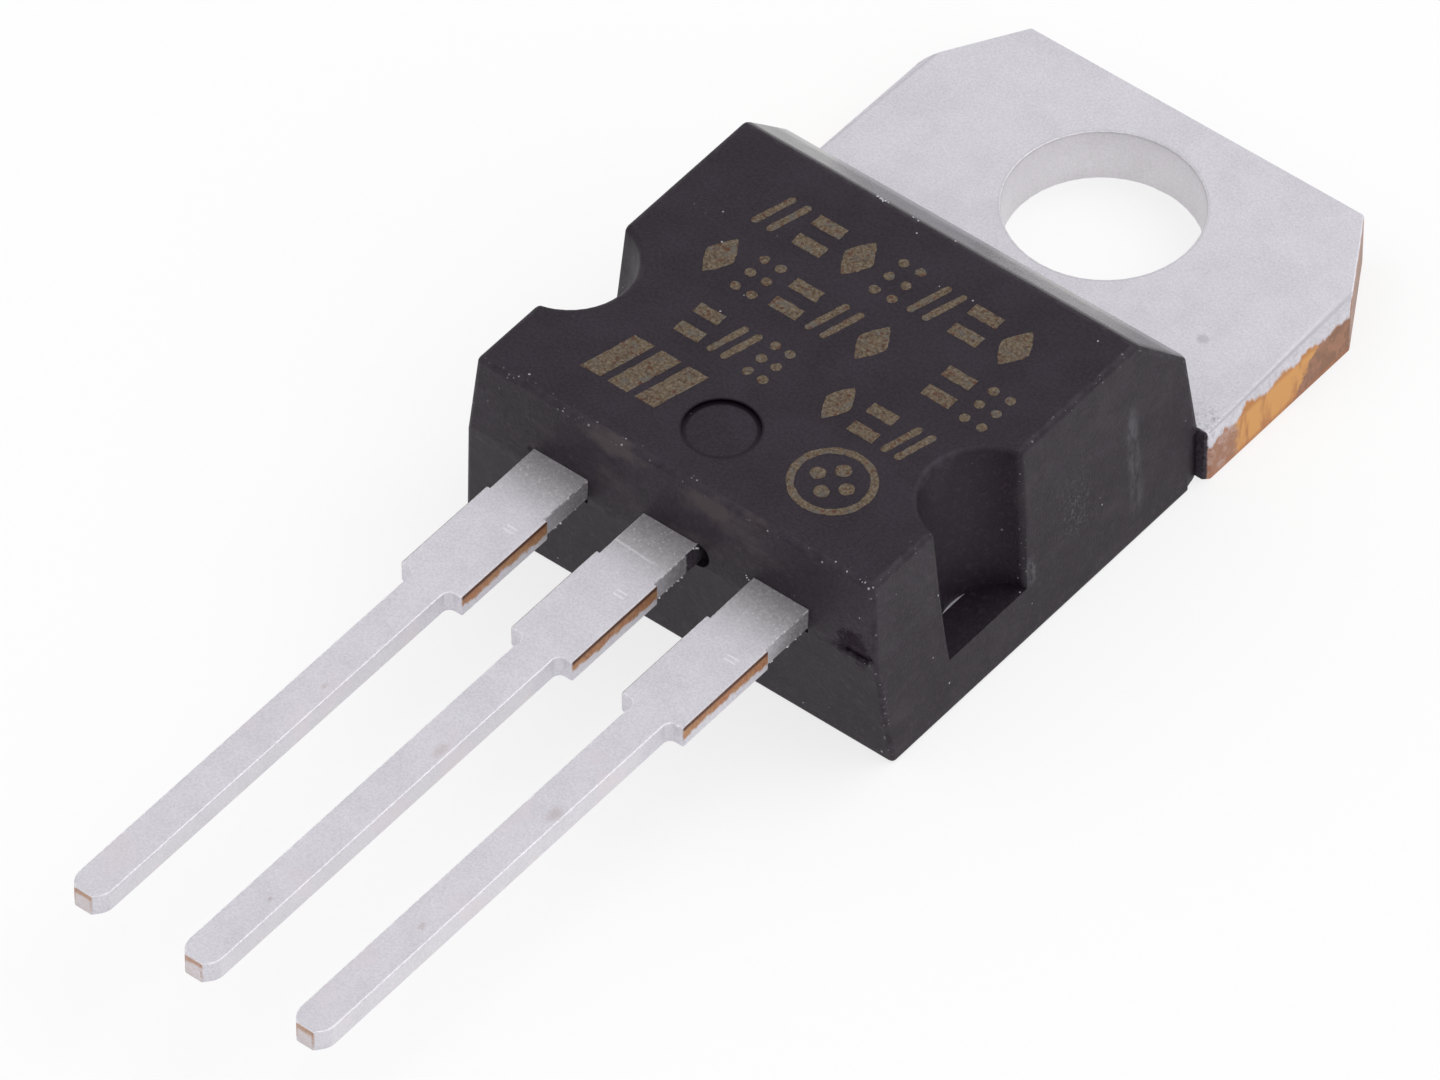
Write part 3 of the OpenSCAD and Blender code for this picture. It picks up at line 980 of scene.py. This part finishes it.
@dataclass
class Metalwork:
    """The tinned copper pieces: the tab with its centre lead, and two outer leads."""

    pitch: float = 2.54
    body_end: float = -12.70
    tab_start: float = -3.44
    top: float = 1.23
    rolled_from: float = 5.09
    roll_radius: float = 0.3
    edge_radius: float = 0.035
    taper_run: Pair = (-25.95, -25.65)
    taper_radius: float = 0.12
    upright_least: float = 0.3
    level_within: float = 0.01
    finish: TinFinish = TinFinish()

    def build(self) -> list[Piece]:
        """Builds the three pieces of metal."""
        leads = (TinShader("left_lead", -self.pitch), TinShader("right_lead", self.pitch))
        return [self._piece(shader) for shader in (TabShader("tab_and_centre_lead", 0.0), *leads)]

    def _sharp(self, edge: Edge) -> bool:
        """Whether an edge stands out somewhere outside the moulding."""
        y = middle_of(edge).y
        return (y < self.body_end or y > self.tab_start) and is_ridge(edge)

    def _rolled(self, edge: Edge) -> bool:
        """Whether an edge is an upper side edge of the tab, which the punch turned over."""
        x, _, z = middle_of(edge)
        return abs(z - self.top) < self.level_within and abs(x) > self.rolled_from and self._sharp(edge)

    def _tapers(self, edge: Edge) -> bool:
        """Whether an edge stands upright where a lead's end starts to taper."""
        low, high, (start, end) = *(vert.co / MM for vert in edge.verts), self.taper_run
        return abs(low.z - high.z) > self.upright_least and start < low.y < end and is_ridge(edge)

    def _piece(self, shader: TinShader) -> Piece:
        """Builds one piece of metal.

        Args:
            shader: Its empty shader, which carries its node's name.

        Returns:
            The object.
        """
        copy = Rounded(shader.node)
        # The roll's faces carry -1, which places the painted shade on the roll.
        copy.round(self._rolled, self.roll_radius, segments=5, wear_and_painted_light=-1.0)
        copy.round(self._tapers, self.taper_radius, segments=3, wear_and_painted_light=0.0)
        # These faces carry 1, which places the painted highlights on the edges.
        copy.round(self._sharp, self.edge_radius, segments=2)
        return copy.piece(f"tinned_{shader.node}", self.finish.material(shader), "tinned_copper")


class Glyph(Enum):
    """The plain shapes that stand in the print's rows."""

    DIAMOND = "diamond"
    BARS = "bars"
    DOTS = "dots"
    SLANTS = "slants"
    GAP = "gap"


DIAMOND, BARS, DOTS, SLANTS, GAP = Glyph


@dataclass
class PrintRow:
    """One row of plain shapes."""

    left: float
    base: float
    height: float
    pitch: float
    shapes: tuple[Glyph, ...]


@dataclass
class Marking:
    """Generic marking on the top face: rows of plain shapes, a block and a ring."""

    face: float = 4.47
    stroke: float = 0.155
    thickness: float = 0.006
    sunk: float = 0.004
    ring_place: Pair = (2.36, -11.045)
    ring_radius: float = 0.76
    block_place: Pair = (-1.97, -11.03)
    block_size: Pair = (2.0, 1.2)
    dot_reach: float = 0.43
    share: float = 0.72
    dot_radii: Pair = (0.105, 0.15)
    dot_columns: Pair = (0.2, 0.8)
    dot_rows: tuple[float, ...] = (0.1, 0.5, 0.9)
    diamond_half: float = 0.48
    bar_feet: Pair = (0.08, 0.64)
    bar_height: float = 0.28
    slant_feet: Pair = (0.24, 0.78)
    slant_lean: float = 0.2
    slant_margin: float = 0.05
    ragged_slab: float = 0.012
    ragged_bead: float = 0.12
    seed: int = 11
    finish: PrintFinish = PrintFinish()
    rows: tuple[PrintRow, ...] = (
        PrintRow(-2.85, -6.93, 1.06, 0.9, (SLANTS, BARS, DIAMOND, DOTS, SLANTS, BARS, DIAMOND)),
        PrintRow(-3.05, -8.43, 1.05, 0.88, (DIAMOND, DOTS, BARS, SLANTS, DIAMOND, GAP, BARS, DOTS)),
        PrintRow(-2.25, -9.96, 1.0, 0.8, (BARS, SLANTS, DOTS, GAP, DIAMOND, BARS, SLANTS)))

    def build(self) -> list[Piece]:
        """Builds the marks as five pieces.

        Returns:
            The pieces.
        """
        self.random = np.random.default_rng(self.seed)
        material = self.finish.material()
        parts = {f"marking_row_{number}": self._row(row) for number, row in enumerate(self.rows, 1)}
        parts |= {"marking_ring": self._ring(), "marking_block": self._block()}
        return [new_piece(name, *joined(patches), material) for name, patches in parts.items()]

    def _row(self, row: PrintRow) -> list[Patch]:
        """The shapes of one row, each as wide as its share of the pitch."""
        return [patch for place, shape in enumerate(row.shapes) for patch in self._shape(
            shape, row.left + place * row.pitch, row.base, row.pitch * self.share, row.height)]

    def _shape(self, shape: Glyph, x: float, y: float, width: float, height: float) -> list[Patch]:
        """Builds one shape.

        Args:
            shape: Which shape.
            x: Its left side.
            y: Its foot.
            width: Its width.
            height: Its height.

        Returns:
            The points and faces of each of its parts.
        """
        middle = (x + width / 2, y + height / 2)
        if shape is DIAMOND:
            return [self._slab(diamond(middle, width * self.diamond_half, height * self.diamond_half))]
        if shape is BARS:
            bars = [(y + height * foot, y + height * foot + height * self.bar_height)
                    for foot in self.bar_feet]
            return [self._slab(outline([(x, foot), (x + width, foot), (x + width, top), (x, top)]))
                    for foot, top in bars]
        if shape is DOTS:
            spots = [(x + width * a, y + height * b)
                     for a in self.dot_columns for b in self.dot_rows]
            return [self._slab(circle(spot, self.dot_radii[0])) for spot in spots]
        if shape is SLANTS:
            lean = width * self.slant_lean
            low, high = y + self.slant_margin, y + height - self.slant_margin
            return [self._bead(line((foot - lean, low), (foot + lean, high)), False)
                    for foot in (x + width * share for share in self.slant_feet)]
        return []

    def _ring(self) -> list[Patch]:
        """Builds a ring round four dots.

        Returns:
            The parts.
        """
        x, y = self.ring_place
        reach = self.ring_radius * self.dot_reach
        dots = [(x + a * reach, y + b * reach) for a, b in ((-1, 0), (1, 0), (0, -1), (0, 1))]
        patches = [self._bead(circle((x, y), self.ring_radius), True)]
        return patches + [self._slab(circle(dot, self.dot_radii[1])) for dot in dots]

    def _block(self) -> list[Patch]:
        """Builds three leaning blocks side by side.

        Returns:
            The parts.
        """
        x, y = self.block_place
        width, height = self.block_size
        lean, gap, count = 0.3, 0.17, 3
        each = (width - lean - gap * (count - 1)) / count
        patches = []
        for place in range(count):
            left = x - width / 2 + place * (each + gap)
            corners = [(left, y - height / 2), (left + each, y - height / 2),
                       (left + each + lean, y + height / 2), (left + lean, y + height / 2)]
            patches.append(self._slab(outline(corners)))
        return patches

    def _slab(self, path: Array) -> Patch:
        """A low slab with a ragged outline.

        Each outline point is moved along the line from the middle by a smooth random
        wave. Three rings follow: the foot below the face, the shoulder, and a top
        that is drawn in by twice the slab's thickness.

        Args:
            path: The outline, counter-clockwise.

        Returns:
            The slab's points and faces.
        """
        away = path - path.mean(0)
        away /= np.linalg.norm(away, axis=1, keepdims=True)
        ragged = path + away * self._wave(len(path), self.ragged_slab)[:, None]
        drawn = ragged - away * self.thickness * 2
        rings = [(ragged, self.face - self.sunk), (ragged, self.face + self.thickness * 0.5),
                 (drawn, self.face + self.thickness)]
        points = [np.column_stack([ring, np.full(len(ring), height)]) for ring, height in rings]
        count = len(path)
        faces = [face[::-1] for face in grid_faces(3, count, False, True)]
        faces.append([2 * count + number for number in range(count)])
        faces.append(list(range(count))[::-1])
        return np.concatenate(points), faces

    def _bead(self, path: Array, closed: bool) -> Patch:
        """A low ragged bead carried along a centreline.

        The bead's section is half a flattened circle over a flat foot. Its half-width
        is the stroke's half-width times one plus a smooth random wave, and at an open
        end it falls to nothing as a circle does, so the end is round.

        Args:
            path: The centreline, one point a row.
            closed: Whether it joins its own start.

        Returns:
            The bead's points and faces.
        """
        count = len(path)
        tangent = np.gradient(path, axis=0)
        if closed:
            tangent = np.roll(path, -1, 0) - np.roll(path, 1, 0)
        tangent /= np.linalg.norm(tangent, axis=1, keepdims=True)
        across = np.stack([tangent[:, 1], -tangent[:, 0]], 1)
        half = self.stroke / 2 * (1 + self._wave(count, self.ragged_bead))
        if not closed:
            run = np.concatenate([[0], np.cumsum(np.linalg.norm(np.diff(path, axis=0), axis=1))])
            left = np.minimum(run, run[-1] - run)
            share = np.clip(left / (self.stroke / 2), 0.02, 1)
            half = half * np.sqrt(1 - (1 - share) ** 2)
        turn = np.linspace(0, np.pi, 7)
        side = np.concatenate([np.cos(turn), [-1.0, 1.0]])
        lift = np.concatenate([np.sin(turn) ** 0.6 * self.thickness, [-self.sunk, -self.sunk]])
        flat = path[:, None, :] + across[:, None, :] * (half[:, None] * side)[..., None]
        height = np.broadcast_to(self.face + lift, flat.shape[:2])[..., None]
        points = np.concatenate([flat, height], -1).reshape(-1, 3)
        faces = grid_faces(count, len(side), closed, True)
        if not closed:
            last = (count - 1) * len(side)
            faces.append(list(range(len(side)))[::-1])
            faces.append([last + number for number in range(len(side))])
        return points, faces

    def _wave(self, count: int, size: float) -> Array:
        """A smooth random wave: normal noise averaged with a bell over seven points."""
        rough, bell = self.random.normal(0, 1, count + 8), np.hanning(7)
        return np.convolve(rough, bell / bell.sum(), "same")[4:-4] * size


def joined(patches: Sequence[Patch]) -> Patch:
    """Puts the points and faces of several parts together.

    Args:
        patches: The parts.

    Returns:
        One part with all their points and faces.
    """
    points, faces, start = [], [], 0
    for part, sides in patches:
        points.append(part)
        faces += [[number + start for number in face] for face in sides]
        start += len(part)
    return np.concatenate(points), faces


def line(start: Pair, end: Pair, step: float = 0.03) -> Array:
    """Even points along a straight line, about a step apart."""
    count = max(int(np.linalg.norm(np.subtract(end, start)) / step), 4)
    return np.array(start) + np.linspace(0, 1, count)[:, None] * np.subtract(end, start)


def circle(middle: Pair, radius: float, step: float = 0.03) -> Array:
    """Even points round a circle, without a repeated end."""
    turn = full_turn(max(int(2 * np.pi * radius / step), 14))
    return np.array(middle) + radius * np.stack([np.cos(turn), np.sin(turn)], 1)


def full_turn(count: int) -> Array:
    """Even angles of a full turn, without the last."""
    return np.arange(count) / count * 2 * np.pi


def outline(corners: Sequence[Pair]) -> Array:
    """Even points round straight-sided corners, without a repeated end."""
    ends = zip(corners, [*corners[1:], corners[0]])
    return np.concatenate([line(start, end)[:-1] for start, end in ends])


def diamond(middle: Pair, half_w: float, half_h: float) -> Array:
    """Points round a diamond with soft corners.

    The radius in each direction makes the sum of the two shares, each raised to
    1.2, equal to one. A power of 1 would give sharp corners and 2 an ellipse.

    Args:
        middle: Its middle.
        half_w: Half its width.
        half_h: Half its height.

    Returns:
        Its points in order.
    """
    turn = full_turn(100)
    cos, sin = np.cos(turn), np.sin(turn)
    scale = (np.abs(cos) ** 1.2 + np.abs(sin) ** 1.2) ** (-1 / 1.2)
    shape = np.stack([half_w * cos * scale, half_h * sin * scale], 1)
    return np.array(middle) + shape


@dataclass
class Grains:
    """Grains that stick to the surface: chips of compound or burrs of tin."""

    name: str
    finish: PlainFinish
    places: tuple[Place, ...]
    size: float
    slot: str | None = None
    seed: int = 5
    spread: float = 0.35
    rows: int = 6
    columns: int = 9
    cap: float = 0.25
    roughness: float = 0.22
    flatness: float = 0.66

    def build(self) -> Piece:
        """Builds the grains as one piece, each a little larger or smaller than size.

        Returns:
            The piece.
        """
        random = np.random.default_rng(self.seed)
        scales = random.uniform(1 - self.spread, 1 + self.spread, len(self.places))
        patches = [self._grain(random, np.array(place), self.size * scale)
                   for place, scale in zip(self.places, scales)]
        return new_piece(self.name, *joined(patches), self.finish.material(), self.slot)

    def _grain(self, random: np.random.Generator, place: Array, size: float) -> Patch:
        """One grain.

        It is a ball on a grid of latitude and longitude, whose radius is scaled by a
        random share at each point, flattened to two thirds and closed by two caps.

        Args:
            random: The source of the shares.
            place: Its middle.
            size: Its radius.

        Returns:
            Its points and faces.
        """
        polar = np.linspace(self.cap, np.pi - self.cap, self.rows)[:, None]
        turn = full_turn(self.columns)[None, :]
        radius = size * (1 + random.normal(0, self.roughness, (self.rows, self.columns)))
        x = radius * np.sin(polar) * np.cos(turn)
        y = radius * np.sin(polar) * np.sin(turn)
        z = radius * np.cos(polar) * self.flatness
        points = np.stack([x, y, z], -1).reshape(-1, 3) + place
        faces = grid_faces(self.rows, self.columns, False, True)
        last = (self.rows - 1) * self.columns
        faces.append(list(range(self.columns)))
        faces.append([last + number for number in range(self.columns)][::-1])
        return points, faces


@dataclass
class Flaws:
    """The chipped spot on the body's upper edge and the burrs at the leads' roots."""

    chips: tuple[Place, ...] = (
        (-1.45, -4.93, 4.445), (-1.38, -4.93, 4.443), (-1.33, -4.94, 4.442),
        (-1.27, -4.93, 4.445), (-1.21, -4.93, 4.443), (-1.30, -4.98, 4.450),
        (-0.494, -4.96, 4.448), (-0.62, -4.94, 4.445), (0.35, -4.93, 4.443))
    burrs: tuple[Place, ...] = (
        (0.652, -12.80, 3.045), (0.668, -12.775, 3.03), (0.63, -12.85, 3.052),
        (1.80, -12.775, 3.02), (1.775, -12.77, 3.055), (1.84, -12.775, 2.985))
    leads: tuple[float, ...] = (-2.54, 0.0, 2.54)
    half_root: float = 0.635
    lead_foot: float = 2.59
    run: Pair = (-13.85, -12.95)
    each: int = 6
    inset: float = 0.008
    chip_size: float = 0.027
    burr_size: float = 0.018
    seed: int = 17

    def build(self) -> list[Piece]:
        """Builds the chips and the burrs.

        Returns:
            The two pieces.
        """
        random = np.random.default_rng(self.seed)
        beads = [(middle + self.half_root - self.inset, float(y), self.lead_foot)
                 for middle in self.leads for y in random.uniform(*self.run, self.each)]
        burrs = (*self.burrs, *beads)
        return [Grains("edge_chips", FLAKE, self.chips, self.chip_size).build(),
                Grains("root_burrs", BURR, burrs, self.burr_size, "tinned_copper").build()]


@dataclass
class Insides:
    """Chip, solder and wires inside the moulding, kept as constructed."""

    finishes: tuple[tuple[PlainFinish, tuple[str, ...]], ...] = (
        (SILICON, ("chip",)),
        (SOLDER, ("chip_solder",)),
        (WIRE, ("left_bond_wire", "right_bond_wire", "ground_bond_wire")))

    def dress(self) -> None:
        """Gives each inner solid its finish."""
        for finish, nodes in self.finishes:
            material = finish.material()
            for node in nodes:
                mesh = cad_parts[node].data
                mesh.materials.clear()
                mesh.materials.append(material)
                log.info("%s: %s", node, finish.name)


def towards(azimuth: float, elevation: float) -> Vector:
    """The direction at so many degrees from -Y towards +X, and so many above the floor."""
    a, e = np.radians([azimuth, elevation])
    return Vector((np.sin(a) * np.cos(e), -np.cos(a) * np.cos(e), np.sin(e)))


@dataclass
class Studio:
    """Camera, pale floor and soft light."""

    focal_px: float = 16173.2
    image_w: float = 1440.0
    sensor: float = 36.0
    azimuth: float = 38.741
    elevation: float = 46.768
    roll: float = 0.056
    distance: float = 291.56
    target: Place = (0.2445, -11.6154, 2.0)
    floor_half: float = 900.0
    floor_paint: float = 0.9
    floor_white: float = 0.75
    sky: float = 0.62
    suns: tuple[tuple[str, float, float, float, float], ...] = (
        ("key_light", 58.0, 150.0, 1.1, 50.0),
        ("fill_light", 40.0, -40.0, 0.5, 70.0),
        ("side_light", 18.0, 80.0, 0.5, 60.0))

    def build(self) -> None:
        """Sets up everything that isn't part of the object."""
        self._camera()
        self._floor()
        self._world()
        for sun in self.suns:
            self._sun(*sun)
        bpy.context.scene.view_settings.view_transform = "Standard"

    def _camera(self) -> None:
        """The camera at the photograph's angle."""
        back = towards(self.azimuth, self.elevation)
        azimuth, roll = np.radians([self.azimuth, self.roll])
        right = Vector((np.cos(azimuth), np.sin(azimuth), 0.0))
        turned = Matrix((right, back.cross(right), back)).transposed() @ Matrix.Rotation(roll, 3, "Z")
        data = bpy.data.cameras.new("camera")
        data.sensor_width = self.sensor
        data.lens = self.sensor * self.focal_px / self.image_w
        data.clip_start, data.clip_end = 0.01, 10.0
        camera = added("camera", data)
        place = (Vector(self.target) + back * self.distance) * MM
        camera.matrix_world = Matrix.Translation(place) @ turned.to_4x4()
        bpy.context.scene.camera = camera

    def _floor(self) -> None:
        """A wide pale floor under the object."""
        half = self.floor_half * MM
        mesh = bpy.data.meshes.new("floor")
        corners = [(-half, -half, 0), (half, -half, 0), (half, half, 0), (-half, half, 0)]
        mesh.from_pydata(corners, [], [(0, 1, 2, 3)])
        floor = added("floor", mesh)
        mesh.materials.append(self._floor_material())

    def _floor_material(self) -> Material:
        """White where the camera or a reflection sees it, with the object's shadow kept.

        Returns:
            The material.
        """
        shader = Shader("pale_floor")
        seen = sum(shader.add("LightPath", output=f"Is {kind} Ray")
                   for kind in ("Camera", "Glossy", "Transmission"))
        white = shader.add("Emission", None, {"Color": (1.0, 1.0, 1.0), "Strength": 1.0})
        paint = shader.add("BsdfDiffuse", None, {"Color": (self.floor_paint,) * 3})
        both = shader.add("MixShader", None,
                          {0: seen.smaller(1.0) * self.floor_white, 1: paint, 2: white})
        shader.tree.links.new(both.socket, shader.end.inputs["Surface"])
        return shader.material

    def _world(self) -> None:
        """Even pale surroundings."""
        world = bpy.data.worlds.new("pale_room")
        world.use_nodes = True
        sky = world.node_tree.nodes["Background"]
        sky.inputs["Color"].default_value = (1.0, 1.0, 1.0, 1.0)
        sky.inputs["Strength"].default_value = self.sky
        bpy.context.scene.world = world

    @staticmethod
    def _sun(name: str, elevation: float, azimuth: float, strength: float, spread: float) -> None:
        """A broad soft lamp.

        Args:
            name: The lamp's name.
            elevation: Its height above the horizon in degrees.
            azimuth: Its direction round the object, as for the camera.
            strength: Its strength.
            spread: Its apparent size in degrees, which softens the shadow.
        """
        data = bpy.data.lights.new(name, "SUN")
        data.energy = strength
        data.angle = np.radians(spread)
        lamp = added(name, data)
        lamp.rotation_mode = "QUATERNION"
        lamp.rotation_quaternion = (-towards(azimuth, elevation)).to_track_quat("-Z", "Y")


def main() -> None:
    """Builds every piece."""
    logging.basicConfig(level=logging.INFO, format="%(name)s %(message)s")
    Studio().build()
    MouldedBody().build()
    Metalwork().build()
    Marking().build()
    Flaws().build()
    Insides().dress()


if __name__ == "__main__":
    main()
